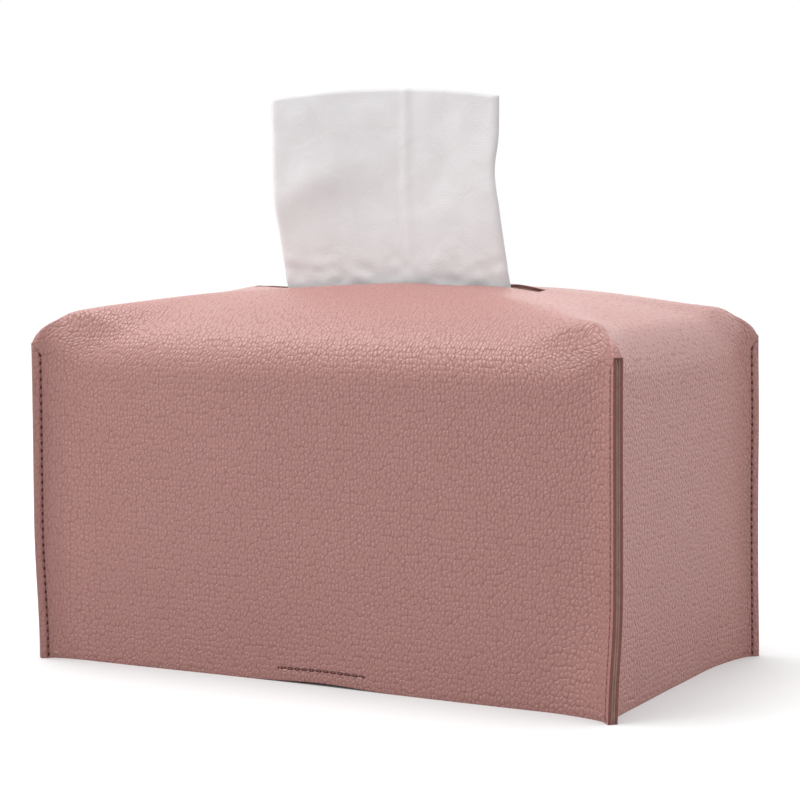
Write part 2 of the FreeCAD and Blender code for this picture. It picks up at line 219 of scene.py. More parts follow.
def arch_height(across, half_width, fold, rise):
    """Height of the top at a distance from its middle: a fold off the wall, then one long crowning arc."""
    level = half_width - fold
    crown = (level ** 2 + rise ** 2 - fold ** 2) / (2 * (rise - fold))
    meeting = level * crown / (crown - fold)
    if across > meeting:
        return wall_height + math.sqrt(max(fold ** 2 - (across - level) ** 2, 0.0))
    return wall_height + rise - crown + math.sqrt(crown ** 2 - across ** 2)


def top_height(x, y, softness):
    """Height of the crowned top: the lower of the two crossed arches, with a softened ridge between them."""
    rise = crown_height - wall_height
    along = arch_height(min(abs(x), half_length), half_length, end_fold, rise)
    across = arch_height(min(abs(y), half_depth), half_depth, side_fold, rise + cross_lift)
    lower = min(along, across)
    softness *= apex_share + (1 - apex_share) * smooth((crown_height - lower) / apex_calm)
    blend = max(softness - abs(along - across), 0.0) ** 2 / (4 * softness)
    return lower - blend


hem_bend = 0.018  # how far from the seam a wall starts to turn out, at the hem
top_bend = 0.007  # the same, at the top of the seam
bend_run = 0.75  # it gets there at this share of the wall's height
pinch_bend = 0.3  # and tightens to this share where the pinched corner runs out
leaf_flat = 0.0042  # the flat part of a leaf, outside the bend
pinch_climb = 0.0088  # above the seam the pinched corner runs out over this height
pinch_hold = 1.6  # above 1, it keeps its reach at first and then runs out faster
ridge_softness = 0.0006
crown_softness = 0.0045
crown_start = 0.4  # the ridge gets softer from this share of the fold on
ridge_share = 0.3  # the pinched corner narrows to this share of the seam's width
end_sag = 0.0075  # the fold above an end wall lies this much lower away from its seams
end_span = (0.095, 0.145)  # that sag starts at the lower of these heights and is gone at the upper
end_ease = (0.030, 0.019)  # it comes in and goes out over these heights
side_sag = 0.0102  # the fold above a long wall starts this much lower away from its seams
side_start = 0.080  # the wall below it gives way from this height on
slack_fold = 0.0215  # and the fold is as round as this there
sag_fade = (0.015, 0.024)  # it fades out toward a seam over this distance, on a wall and on the top
wall_wave = 0.0006  # how far the soft walls wave
wave_pitch = (14.0, 14.0, 11.0)  # waves to a metre
wave_up = 0.35  # share of the waves that goes up and down
calm_foot = 0.03  # they are weaker within this height of the hem
calm_top = 0.02  # and this depth of the crown
calm_share = 0.3  # down to this share
wave_seed = 7  # fixed, because Blender would otherwise draw the waves from the clock
noise.seed_set(wave_seed)

# Where use has pushed the soft leather: the middle of the place, the push, and how far it carries along
# and up.
pushes = [
    # The front left seam leans in at its foot and is fuller above its top.
    ((-0.1245, -0.0695, 0), (0.001, 0.001, 0), 0.055, 0.055),
    ((-0.119, -0.0665, 0.131), (0, 0, 0.0009), 0.011, 0.02),
    # The front right seam bows to the front, stands higher at its top and has its edge turned forward.
    ((0.1245, -0.0695, 0), (-0.0002, -0.0032, 0), 0.03, 0.042),
    ((0.1245, -0.0695, 0.128), (0, 0, 0.0021), 0.034, 0.04),
    ((0.1255, -0.0705, 0.06), (-0.0002, 0.0001, 0), 0.008, 0.4),
    # The back right seam stands further in, is drawn to the front at its foot and is higher at its top.
    ((0.1245, 0.0695, 0.1), (-0.0007, -0.0005, 0), 0.04, 0.13),
    ((0.1245, 0.0695, 0), (0.0006, -0.0014, 0), 0.04, 0.07),
    ((0.1245, 0.0695, 0.128), (-0.0006, -0.0003, 0.0023), 0.034, 0.04),
    # The back left seam leans out.
    ((-0.1245, 0.0695, 0), (-0.0006, 0.0004, 0), 0.055, 0.055),
    # The right end wall is drawn in at the hem, and the front wall is slightly hollow there.
    ((0.12, 0.036, 0), (-0.001, 0, 0), 0.03, 0.04),
    ((0.12, 0.01, 0), (-0.0014, 0, 0), 0.065, 0.06),
    ((-0.03, -0.065, 0), (0, 0.0016, 0), 0.1, 0.06),
    # The hem is lifted over the front belt and the back belt.
    ((0.0028, -0.065, 0), (0, 0, 0.0011), 0.034, 0.012),
    ((0.0028, 0.065, 0), (0, 0, 0.0011), 0.034, 0.012),
    # The top stands fuller right and left of the slot.
    ((0.08, 0.015, 0.142), (0, 0, 0.0016), 0.065, 0.05),
    ((-0.09, 0, 0.14), (0, 0, 0.0007), 0.04, 0.05),
    ((-0.113, -0.012, 0.135), (0, 0, 0.0018), 0.034, 0.035),
    # The slot's lips are lifted at its left end and close up at both ends.
    ((-0.063, 0, 0.147), (0, 0, 0.0014), 0.016, 0.03),
    ((0.056, 0.005, 0.147), (0, -0.003, 0.0007), 0.016, 0.03),
    ((0.056, -0.005, 0.147), (0, 0.0024, 0), 0.016, 0.03),
    ((-0.058, 0.005, 0.147), (0, -0.003, 0), 0.016, 0.03),
    ((-0.058, -0.005, 0.147), (0, 0.0024, 0), 0.016, 0.03),
    # The tissue presses the near lip down on the left and lifts both lips on the right.
    ((-0.035, -0.007, 0.147), (0, 0, -0.0007), 0.026, 0.03),
    ((0.04, -0.007, 0.147), (0, 0, 0.0009), 0.026, 0.03),
    ((0.01, -0.007, 0.147), (0, 0, 0.0007), 0.022, 0.03),
    ((0.05, 0.0045, 0.147), (0, 0, 0.0009), 0.013, 0.03),
]


def turned_out(along, root, leaf, bend):
    """A wall's plan where it turns out to its seam in one soft bend: how far along it is, and how far out."""
    inner = leaf * (1 - leaf_flat / leaf_length)
    share = (along - (root - bend)) / (bend + inner)
    if share <= 0:
        return along, 0.0
    if share >= 1:
        return root + (along - root) / math.sqrt(2), (along - root) / math.sqrt(2)
    diagonal = inner / math.sqrt(2)
    bent = (1 - share) ** 2 * (root - bend) + 2 * share * (1 - share) * root + share ** 2 * (root + diagonal)
    return bent, share ** 2 * diagonal


def worn(point):
    """A point of the cover as the soft leather has settled: pushed here and there, with slight waves."""
    moved = point.copy()
    for middle, push, reach, tall in pushes:
        away = point - Vector(middle)
        spread = math.sqrt((away.x ** 2 + away.y ** 2) / reach ** 2 + (away.z / tall) ** 2)
        moved += Vector(push) * smooth(1 - spread)
    sway = noise.noise_vector(point * Vector(wave_pitch) + Vector((0, 3.7, 0)))
    fade = smooth(point.z / calm_foot) * smooth((crown_height - point.z) / calm_top)
    sway.z *= wave_up * fade
    return moved + sway * wall_wave * (calm_share + (1 - calm_share) * fade)


def fade_length(ring):
    """How far from a seam the sag is whole, at the wall or on one of the top's rings."""
    return sag_fade[0] + (sag_fade[1] - sag_fade[0]) * smooth(ring / fold_rings)


def sagged(on_side, height, across, from_seam):
    """A height on a wall or its fold, lowered between the seams, which hold the fold up."""
    if not on_side:
        low, high = end_span
        eased = smooth((height - low) / end_ease[0]) * smooth((high - height) / end_ease[1])
        lower = height - end_sag * eased
    elif height <= wall_height:
        lower = height - side_sag * smooth((height - side_start) / (wall_height - side_start))
    else:
        rise = crown_height - wall_height + cross_lift + side_sag
        lower = arch_height(across, half_depth, slack_fold, rise) - side_sag
    return height + (min(lower, height) - height) * from_seam


def shaped(point):
    """A point of the plain blank in its finished place."""
    ring = max(round((point.z - wall_height) / ring_rise), 0)
    plan_x, plan_y = ring_plan[ring]
    on_side, along, root = wall_place(point.x * half_length / plan_x, point.y * half_depth / plan_y)
    if ring == 0:
        leaf = leaf_length
        height = point.z
        bend = top_bend + (hem_bend - top_bend) * smooth(1 - point.z / (bend_run * wall_height))
        ring_root = root
    else:
        climb = top_height(plan_x, plan_y, ridge_softness) - wall_height
        left = max(1 - (climb / pinch_climb) ** pinch_hold, 0.0)
        leaf = leaf_length * left
        bend = top_bend * (pinch_bend + (1 - pinch_bend) * left)
        narrow = ridge_share + (1 - ridge_share) * left ** 2
        drawn_in = half_length - plan_x if on_side else half_depth - plan_y
        ring_root = root - drawn_in + corner_cut * (1 - narrow)
        along *= (ring_root + leaf) / (root + leaf_length)
    from_seam = smooth((ring_root - along) / fade_length(ring))
    along, out = turned_out(along, ring_root, leaf, bend)
    x, y = (along, plan_y + out) if on_side else (plan_x + out, along)
    if ring > 0:
        eased = smooth(ring / fold_rings - crown_start)
        softness = ridge_softness + (crown_softness - ridge_softness) * eased
        height = top_height(min(x, plan_x), min(y, plan_y), softness)
    height = sagged(on_side, height, min(y, plan_y), from_seam)
    return worn(Vector((math.copysign(x, point.x), math.copysign(y, point.y), height)))


# The grain map: the blank laid flat, each panel from its hem to the slot. The pebbles follow it.
grain_map = leather.data.uv_layers.new(name="grain")
panel_step = 0.7  # the panels lie this far apart on the map


def run_up(on_side, from_seam):
    """Distance from the hem, over the fold, to each ring of a panel: by its seams or where the fold sags."""
    run = [sagged(on_side, wall_height, half_depth, from_seam)]
    spots = [plan[1] if on_side else plan[0] for plan in ring_plan]
    heights = []
    for spot in spots:
        height = top_height(0 if on_side else spot, spot if on_side else 0, ridge_softness)
        heights.append(sagged(on_side, height, spot, from_seam))
    for ring in range(1, len(spots)):
        run.append(run[-1] + math.hypot(spots[ring] - spots[ring - 1], heights[ring] - heights[ring - 1]))
    return run


run_by_seam = {on_side: run_up(on_side, 0.0) for on_side in (True, False)}
run_in_sag = {on_side: run_up(on_side, 1.0) for on_side in (True, False)}
for face in leather.data.polygons:
    outline = [leather.data.vertices[index].co for index in face.vertices]
    centre = sum(outline, Vector()) / len(outline)
    ring = max((centre.z - wall_height) / ring_rise, 0)
    plan_x, plan_y = ring_plan[min(round(ring), len(ring_plan) - 1)]
    on_side, along, root = wall_place(centre.x * half_length / plan_x, centre.y * half_depth / plan_y)
    panel = (0 if centre.y < 0 else 1) if on_side else (2 if centre.x < 0 else 3)
    for loop, spot in zip(face.loop_indices, outline):
        ring = max(round((spot.z - wall_height) / ring_rise), 0)
        along = abs(spot.x) if on_side else abs(spot.y)
        from_seam = smooth((ring_plan[ring][0 if on_side else 1] - along) / fade_length(ring))
        up = sagged(on_side, min(spot.z, wall_height), half_depth, from_seam)
        if ring > 0:
            up = run_by_seam[on_side][ring] * (1 - from_seam) + run_in_sag[on_side][ring] * from_seam
        grain_map.data[loop].uv = ((spot.x if on_side else spot.y) + panel * panel_step, up)

for vertex in leather.data.vertices:
    vertex.co = shaped(vertex.co)


def apply_modifiers(piece):
    """Applies every modifier of a piece in order."""
    bpy.ops.object.select_all(action="DESELECT")
    piece.select_set(True)
    bpy.context.view_layer.objects.active = piece
    for modifier in list(piece.modifiers):
        bpy.ops.object.modifier_apply(modifier=modifier.name)


def thicken(piece, thickness, offset, edge=0):
    """Gives a sheet its thickness. The material of its cut edge lies that many places after its face's."""
    walls = piece.modifiers.new("walls", "SOLIDIFY")
    walls.thickness = thickness
    walls.offset = offset
    walls.material_offset_rim = edge


def round_rim(piece, width, angle):
    """Rounds the edges of a piece that bend by more than an angle in degrees."""
    rim = piece.modifiers.new("rim", "BEVEL")
    rim.width = width
    rim.segments = 2
    rim.limit_method = "ANGLE"
    rim.angle_limit = math.radians(angle)


soften = leather.modifiers.new("soften", "SUBSURF")
soften.levels = soften.render_levels = 1
soften.boundary_smooth = "PRESERVE_CORNERS"
apply_modifiers(leather)
bpy.ops.object.shade_smooth()
skin = leather.data.copy()


def add(tree, kind, inputs=None, **settings):
    """Adds a shader node with its settings. Each input is a value or another node's output."""
    made = tree.nodes.new(kind)
    for name, value in settings.items():
        setattr(made, name, value)
    for name, value in (inputs or {}).items():
        if isinstance(value, bpy.types.NodeSocket):
            tree.links.new(value, made.inputs[name])
        else:
            made.inputs[name].default_value = value
    return made


def maths(tree, operation, *values):
    """The result of one step of arithmetic on values and outputs."""
    return add(tree, "ShaderNodeMath", dict(enumerate(values)), operation=operation).outputs[0]


def graded(tree, value, source, target, curve="LINEAR"):
    """A value brought from one range to another, and held at its ends."""
    return add(tree, "ShaderNodeMapRange", {"Value": value, "From Min": source[0], "From Max": source[1],
                                            "To Min": target[0], "To Max": target[1]},
               interpolation_type=curve).outputs["Result"]


def mixed(tree, share, first, second):
    """A colour between two others."""
    return add(tree, "ShaderNodeMix", {"Factor": share, 6: first, 7: second}, data_type="RGBA").outputs[2]


def own_place(tree):
    """Where a point lies in the piece's own space."""
    return add(tree, "ShaderNodeTexCoord").outputs["Object"]


def mapped(tree, name):
    """Where a point lies on one of the piece's maps, along and up."""
    on_map = add(tree, "ShaderNodeUVMap", uv_map=name).outputs["UV"]
    parts = add(tree, "ShaderNodeSeparateXYZ", {0: on_map}).outputs
    return parts["X"], parts["Y"]


def cloudy(tree, place, scale, detail, distortion=0.0):
    """A cloudy pattern from 0 to 1."""
    return add(tree, "ShaderNodeTexNoise", {"Vector": place, "Scale": scale, "Detail": detail,
                                            "Distortion": distortion}).outputs["Fac"]


def give_surface(tree, shader, colour, roughness, height, strength, depth, invert=False):
    """Gives a material its colour, roughness and relief."""
    tree.links.new(colour, shader["Base Color"])
    tree.links.new(roughness, shader["Roughness"])
    relief = add(tree, "ShaderNodeBump", {"Height": height, "Strength": strength, "Distance": depth},
                 invert=invert)
    tree.links.new(relief.outputs["Normal"], shader["Normal"])


def new_group(name, inputs, outputs):
    """An empty shader node group. Its inputs and outputs are numbers, but for a place."""
    group = bpy.data.node_groups.new(name, "ShaderNodeTree")
    for way, sockets in (("INPUT", inputs), ("OUTPUT", outputs)):
        for socket in sockets:
            kind = "NodeSocketVector" if socket == "Place" else "NodeSocketFloat"
            group.interface.new_socket(socket, in_out=way, socket_type=kind)
    return group, group.nodes.new("NodeGroupInput").outputs, group.nodes.new("NodeGroupOutput").inputs


def new_material(name):
    """A material with only its shader and output."""
    material = bpy.data.materials.new(name)
    material.use_nodes = True
    return material, material.node_tree, material.node_tree.nodes["Principled BSDF"].inputs


# Pebble grain: rounded cells of uneven size, a little taller than wide, with narrow creases between them.
cells_per_metre = 720.0
cell_width = 0.64  # the cells' width as a share of their height
cell_wobble = 0.0006
pebbles, given, result = new_group("pebble_grain", ("Place", "Cells"), ("Height", "Crease"))
tall = add(pebbles, "ShaderNodeMapping",
           {"Vector": given["Place"], "Scale": (1.0, cell_width, 1.0)}).outputs["Vector"]
wobble = add(pebbles, "ShaderNodeTexNoise", {"Vector": tall, "Scale": 650.0, "Detail": 1.0},
             noise_dimensions="2D").outputs["Color"]
shift = add(pebbles, "ShaderNodeVectorMath", {0: wobble, 1: (cell_wobble, cell_wobble, cell_wobble)},
            operation="MULTIPLY").outputs[0]
warped = add(pebbles, "ShaderNodeVectorMath", {0: tall, 1: shift}, operation="ADD").outputs[0]
spacing = {"Vector": warped, "Scale": given["Cells"], "Randomness": 0.85}
cells = add(pebbles, "ShaderNodeTexVoronoi", spacing, voronoi_dimensions="2D").outputs
to_edge = add(pebbles, "ShaderNodeTexVoronoi", spacing, voronoi_dimensions="2D",
              feature="DISTANCE_TO_EDGE").outputs["Distance"]
crease = graded(pebbles, to_edge, (0.0, 0.16), (1.0, 0.0), "SMOOTHSTEP")
slope = graded(pebbles, to_edge, (0.0, 0.55), (1.0, 0.0))
dome = maths(pebbles, "SUBTRACT", 1.0, maths(pebbles, "POWER", slope, 2.0))
swell = graded(pebbles, cells["Color"], (0.0, 1.0), (0.65, 1.0))
pit = graded(pebbles, cells["Distance"], (0.40, 0.80), (0.0, 1.0), "SMOOTHSTEP")
pebble = maths(pebbles, "MULTIPLY_ADD", pit, -0.7, maths(pebbles, "MULTIPLY", dome, swell))
pores = cloudy(pebbles, given["Place"], 2600.0, 2.0)
pebbles.links.new(maths(pebbles, "MULTIPLY_ADD", pores, 0.10, pebble), result["Height"])
pebbles.links.new(maths(pebbles, "MAXIMUM", maths(pebbles, "MULTIPLY", crease, 0.5), pit), result["Crease"])

# Needle holes: a row of slits, one for every stitch, near-black inside as painted shade.
stitch_pitch = 0.0031
needle, given, result = new_group("needle_holes", ("Along", "Across", "Pitch", "Long", "Wide"), ("Hole",))
within = maths(needle, "FRACT", maths(needle, "DIVIDE", given["Along"], given["Pitch"]))
from_hole = maths(needle, "MULTIPLY", maths(needle, "SUBTRACT", within, 0.5), given["Pitch"])
spot = add(needle, "ShaderNodeCombineXYZ", {0: maths(needle, "DIVIDE", from_hole, given["Long"]),
                                            1: maths(needle, "DIVIDE", given["Across"], given["Wide"])})
spread = add(needle, "ShaderNodeVectorMath", {0: spot.outputs[0]}, operation="LENGTH").outputs["Value"]
needle.links.new(graded(needle, spread, (0.35, 0.62), (1.0, 0.0), "SMOOTHSTEP"), result["Hole"])


def needle_row(tree, along, across, long, wide):
    """A mask of the holes of one row of stitches."""
    row = {"Along": along, "Across": across, "Pitch": stitch_pitch, "Long": long, "Wide": wide}
    return add(tree, "ShaderNodeGroup", row, node_tree=needle).outputs["Hole"]


leather_pink = (0.424, 0.184, 0.162, 1)
leather_light = (0.450, 0.202, 0.179, 1)
# A darker colour for painted shade in the creases of the grain and in the seam's groove.
leather_painted_shade = (0.240, 0.088, 0.076, 1)
# Near-black painted shade inside the needle holes.
hole_painted_shade = (0.075, 0.003, 0.002, 1)


def leather_finish(name, flat_map):
    """A pebbled leather, with painted shade in the creases between its pebbles. Returns its colour, roughness
    and height too, for holes and relief to be added.
    """
    material, tree, shader = new_material(name)
    place = own_place(tree)
    laid_flat = add(tree, "ShaderNodeUVMap", uv_map=flat_map).outputs["UV"] if flat_map else place
    grain = add(tree, "ShaderNodeGroup", {"Place": laid_flat, "Cells": cells_per_metre},
                node_tree=pebbles).outputs
    body = mixed(tree, cloudy(tree, place, 30.0, 4.0), leather_pink, leather_light)
    # The creases and pits between the pebbles darken the colour: painted shade.
    colour = mixed(tree, maths(tree, "MULTIPLY", grain["Crease"], 0.17), body, leather_painted_shade)
    gloss = graded(tree, grain["Crease"], (0.0, 1.0), (0.42, 0.62))
    shader["Specular IOR Level"].default_value = 1.0
    return material, tree, shader, colour, gloss, grain["Height"]


seam_row = 0.003  # from the cut edge to the row of stitches
row_margin = 0.0006  # the holes and the groove of that row stop this far below the seam's top
hole_long = 0.0018
hole_wide = 0.0009
groove_flat = 0.0002  # half the width of the groove's bottom
groove_wide = 0.0011  # and of the whole groove
belt_row_height = 0.0049
belt_row_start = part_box("front_belt_stitches")[0].x
belt_row_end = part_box("front_belt_stitches")[1].x
belt_row_middle = (belt_row_start + belt_row_end) / 2
belt_row_overrun = 0.001  # the holes of the belt's row go on this far beyond it
belt_row_reach = (belt_row_end - belt_row_start) / 2 + belt_row_overrun
belt_hole_long = 0.0030
belt_hole_wide = 0.0013
pulled_flat = (0.136, 0.165)  # between these distances from the hem the grain is pulled flatter

cover_finish, tree, shader, colour, gloss, height = leather_finish("pebbled_leather", "grain")
from_edge, up_seam = mapped(tree, "seam")
off_row = maths(tree, "SUBTRACT", from_edge, seam_row)
below_top = maths(tree, "LESS_THAN", up_seam, wall_height - row_margin)
seam_holes = needle_row(tree, up_seam, off_row, hole_long, hole_wide)
flat_along, flat_up = mapped(tree, "grain")
on_back = maths(tree, "GREATER_THAN", flat_along, panel_step / 2)
wall_x = maths(tree, "MULTIPLY_ADD", on_back, -panel_step, flat_along)
belt_holes = needle_row(tree, maths(tree, "SUBTRACT", wall_x, belt_row_start),
                        maths(tree, "SUBTRACT", flat_up, belt_row_height), belt_hole_long, belt_hole_wide)
off_middle = maths(tree, "ABSOLUTE", maths(tree, "SUBTRACT", wall_x, belt_row_middle))
in_row = maths(tree, "LESS_THAN", off_middle, belt_row_reach)
holes = maths(tree, "MAXIMUM", maths(tree, "MULTIPLY", seam_holes, below_top),
              maths(tree, "MULTIPLY", belt_holes, in_row))
dent = graded(tree, maths(tree, "ABSOLUTE", off_row), (groove_flat, groove_wide), (1.0, 0.0), "SMOOTHSTEP")
groove = maths(tree, "MULTIPLY", dent, below_top)
# The colour is darkened along the groove of the seam row: painted shade.
groove_shaded_colour = mixed(tree, maths(tree, "MULTIPLY", groove, 0.55), colour, leather_painted_shade)
stretch = graded(tree, flat_up, pulled_flat, (1.0, 0.40), "SMOOTHSTEP")
dented = maths(tree, "MULTIPLY_ADD", groove, -1.0, maths(tree, "MULTIPLY", height, stretch))
sunk = maths(tree, "MULTIPLY_ADD", holes, -1.5, dented)
give_surface(tree, shader, mixed(tree, holes, groove_shaded_colour, hole_painted_shade), maths(tree, "MAXIMUM", gloss, holes),
             sunk, 0.58, 0.0004)

# Raw edge: the brown backing that shows where the leather is cut.
edge_brown = (0.300, 0.118, 0.098, 1)
edge_dark = (0.160, 0.055, 0.046, 1)
edge_finish, tree, shader = new_material("cut_edge")
fibres = cloudy(tree, own_place(tree), 900.0, 4.0)
give_surface(tree, shader, mixed(tree, fibres, edge_dark, edge_brown),
             graded(tree, fibres, (0.0, 1.0), (0.7, 0.95)), fibres, 0.4, 0.0002)

leather.data.materials.append(cover_finish)
leather.data.materials.append(edge_finish)
thicken(leather, leather_thickness, -1, edge=1)
round_rim(leather, leather_rim, 65)
apply_modifiers(leather)
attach(leather, "cover")
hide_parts("leather_cover")


# Lining
# A thin felt skin glued behind the leather all over, out to the cut edges of the seams and the slot.
# It shows at the hem, as the pale stripe in the seam edges, and all over the inside.

lining_thickness = 0.0006
glue_line = 0.0001

lining = bpy.data.objects.new("cover_lining", skin)
bpy.context.collection.objects.link(lining)
bpy.ops.object.select_all(action="DESELECT")
lining.select_set(True)
bpy.context.view_layer.objects.active = lining
bpy.ops.object.mode_set(mode="EDIT")
bpy.ops.mesh.select_all(action="SELECT")
bpy.ops.transform.shrink_fatten(value=-(leather_thickness + glue_line))
bpy.ops.object.mode_set(mode="OBJECT")
thicken(lining, lining_thickness, -1)
apply_modifiers(lining)

felt_pale = (0.40, 0.230, 0.195, 1)
felt_dark = (0.27, 0.145, 0.122, 1)
felt_finish, tree, shader = new_material("felt_lining")
place = own_place(tree)
hairs = cloudy(tree, place, 1500.0, 5.0, 1.5)
pile = maths(tree, "MULTIPLY", hairs, cloudy(tree, place, 180.0, 2.0))
felt_colour = mixed(tree, graded(tree, pile, (0.12, 0.42), (0.0, 1.0)), felt_dark, felt_pale)
give_surface(tree, shader, felt_colour, graded(tree, hairs, (0.0, 1.0), (0.85, 1.0)), pile, 0.6, 0.0003)
shader["Sheen Weight"].default_value = 0.25
lining.data.materials.append(felt_finish)
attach(lining, "cover")
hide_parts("lining")


# Corner seam stitches
# Rows of lock stitch through both leaves of each corner seam, in thread of the leather's colour.
# Each stitch lies in a small dent between two needle holes, on both faces of the seam.

seam_margin = 0.0025  # the stitches stop this far below the top of the seam
stitch_length = 0.0021
thread_radius = 0.00034
thread_sides = 8
stitch_sink = 0.00018  # how far the thread is pulled down into the leather
probe = 0.0005  # the lie of the leather is felt this far to both sides of a stitch
seam_stitches = round((wall_height - 2 * seam_margin) / stitch_pitch)


def model_stitch():
    """One stitch along X at the origin: a short run of thread whose ends dive into the needle holes."""
    bpy.ops.mesh.primitive_cylinder_add(vertices=thread_sides, radius=thread_radius, depth=stitch_length,
                                        rotation=(0, math.pi / 2, 0))
    made = bpy.context.object
    bpy.ops.object.transform_apply(location=True, rotation=True, scale=True)
    bpy.ops.object.mode_set(mode="EDIT")
    choose(made, "EDGE", length_between(0.9 * stitch_length, 1.1 * stitch_length, 0))
    bpy.ops.mesh.subdivide(number_cuts=5)
    choose(made, "VERT", lambda vertex: abs(vertex.co.x) > 0.3 * stitch_length)
    bpy.ops.transform.translate(value=(0, 0, -0.4 * thread_radius))
    choose(made, "VERT", lambda vertex: abs(vertex.co.x) > 0.48 * stitch_length)
    bpy.ops.transform.translate(value=(0, 0, -0.9 * thread_radius))
    bpy.ops.transform.resize(value=(1.0, 0.7, 0.7), center_override=(0, 0, -1.3 * thread_radius))
    bpy.ops.object.mode_set(mode="OBJECT")
    bpy.ops.object.shade_smooth()
    return made


def sew(name, stitch, places, tails=()):
    """Copies a stitch to every place and a loose thread end to every tail, joined into one piece."""
    bpy.ops.object.select_all(action="DESELECT")
    sewn = [(stitch, place) for place in places] + [(thread_end, place) for place in tails]
    for model, place in sewn:
        copy = bpy.data.objects.new(name, model.data.copy())
        copy.data.transform(place)
        bpy.context.collection.objects.link(copy)
        copy.select_set(True)
        bpy.context.view_layer.objects.active = copy
    bpy.ops.object.join()
    row = bpy.context.object
    row.name = name
    return row


def facing(origin, along, out):
    """The place of a piece whose X runs along a row and whose Z stands out from the surface."""
    along = along.normalized()
    side = out.cross(along).normalized()
    out = along.cross(side)
    turn = Matrix((along, side, out)).transposed().to_4x4()
    return Matrix.Translation(origin) @ turn


def seam_places(side_x, side_y):
    """Where the stitches of one corner seam lie, on the leaf of the long wall and on that of the end wall."""
    step = (leaf_length - seam_row) / math.sqrt(2)
    for on_side in (True, False):
        def on_leaf(across, height):
            x = half_length + across - (corner_cut if on_side else 0)
            y = half_depth + across - (0 if on_side else corner_cut)
            return shaped(Vector((side_x * x, side_y * y, height)))
        for index in range(seam_stitches):
            height = (index + 1.0) * stitch_pitch
            if height > wall_height - seam_margin:
                continue
            middle = on_leaf(step, height)
            along = on_leaf(step, height + stitch_length / 2) - on_leaf(step, height - stitch_length / 2)
            across = on_leaf(step + probe, height) - on_leaf(step - probe, height)
            out = along.cross(across)
            away = Vector((-side_x, side_y, 0)) if on_side else Vector((side_x, -side_y, 0))
            if out.dot(away) < 0:
                out = -out
            yield facing(middle - stitch_sink * out.normalized(), along, out.normalized())


# The thread is of the leather's colour, but is given a darker pink as painted shade of the groove it lies in;
# the darker bands of its twist are painted shade too.
thread_pink_shaded = (0.300, 0.125, 0.110, 1)
thread_shadow = (0.150, 0.052, 0.046, 1)
thread_finish, tree, shader = new_material("sewing_thread")
twist = add(tree, "ShaderNodeTexWave", {"Vector": own_place(tree), "Scale": 520.0, "Distortion": 0.6},
            bands_direction="DIAGONAL").outputs["Fac"]
give_surface(tree, shader, mixed(tree, twist, thread_shadow, thread_pink_shaded),
             graded(tree, twist, (0.0, 1.0), (0.7, 0.5)), twist, 0.4, 0.0001)

tail_pink = (0.66, 0.43, 0.40, 1)
tail_shadow = (0.50, 0.29, 0.26, 1)
tail_finish, tree, shader = new_material("thread_end")
strands = cloudy(tree, own_place(tree), 3000.0, 2.0)
tree.links.new(mixed(tree, strands, tail_shadow, tail_pink), shader["Base Color"])
shader["Roughness"].default_value = 0.7

tail_foot = (0.0032, 0.0022)  # a loose end lies this far in from the corner and this far above the hem
seam_stitch = model_stitch()
seam_stitch.data.materials.append(thread_finish)
thread_end = model_stitch()
thread_end.data.materials.append(tail_finish)
for end, side_x in {"left": -1, "right": 1}.items():
    for face, side_y in {"front": -1, "back": 1}.items():
        foot = shaped(Vector((side_x * (half_length - tail_foot[0]), side_y * half_depth, tail_foot[1])))
        tail = facing(foot, Vector((-0.8 * side_x, 0, -0.6)), Vector((0, side_y, 0)))
        row = sew("seam_thread_" + face + "_" + end, seam_stitch, seam_places(side_x, side_y), [tail])
        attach(row, "cover")
        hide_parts("seam_stitches_" + face + "_" + end)


# Belts
# Two leather straps under the open bottom keep the box in. Each is sewn by a tab inside the foot of its
# wall and folds at the hem, so it can be swung out to change the box.

belt_thickness = 0.0014
belt_width = 0.040
belt_floor_gap = 0.0006
belt_bend = 0.0015  # radius of the fold at the middle of the strap
belt_tip_radius = 0.008
tab_steps = 4
fold_steps = 6
strap_steps = 26
crisp_angle = math.radians(40)  # edges that bend more than this stay sharp
tab_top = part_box("front_belt_tab")[1].z
ramp_start = 0.016  # the back strap climbs onto the front one from here
ramp_length = 0.020
ramp_rise = 0.0038


def belt_path(side, climbs):
    """The middle line of a strap from the top of its tab, round the fold and along to its tip."""
    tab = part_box("front_belt_tab" if side < 0 else "back_belt_tab")
    wall_y = (tab[0].y + tab[1].y) / 2
    level = belt_floor_gap + belt_thickness / 2
    inward = -side
    drop = (tab_top - level - belt_bend) / tab_steps
    points = [Vector((0, wall_y, tab_top - step * drop)) for step in range(tab_steps)]
    for step in range(fold_steps + 1):
        turn = math.pi / 2 * step / fold_steps
        points.append(Vector((0, wall_y + inward * belt_bend * (1 - math.cos(turn)),
                              level + belt_bend * (1 - math.sin(turn)))))
    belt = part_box("front_belt" if side < 0 else "back_belt")
    tip = belt[1].y if side < 0 else belt[0].y
    start = points[-1].y
    for step in range(1, strap_steps + 1):
        y = start + (tip - start) * step / strap_steps
        rise = 0.0
        if climbs:
            rise = ramp_rise * smooth((abs(y - start) - ramp_start) / ramp_length)
        points.append(Vector((0, y, level + rise)))
    return points


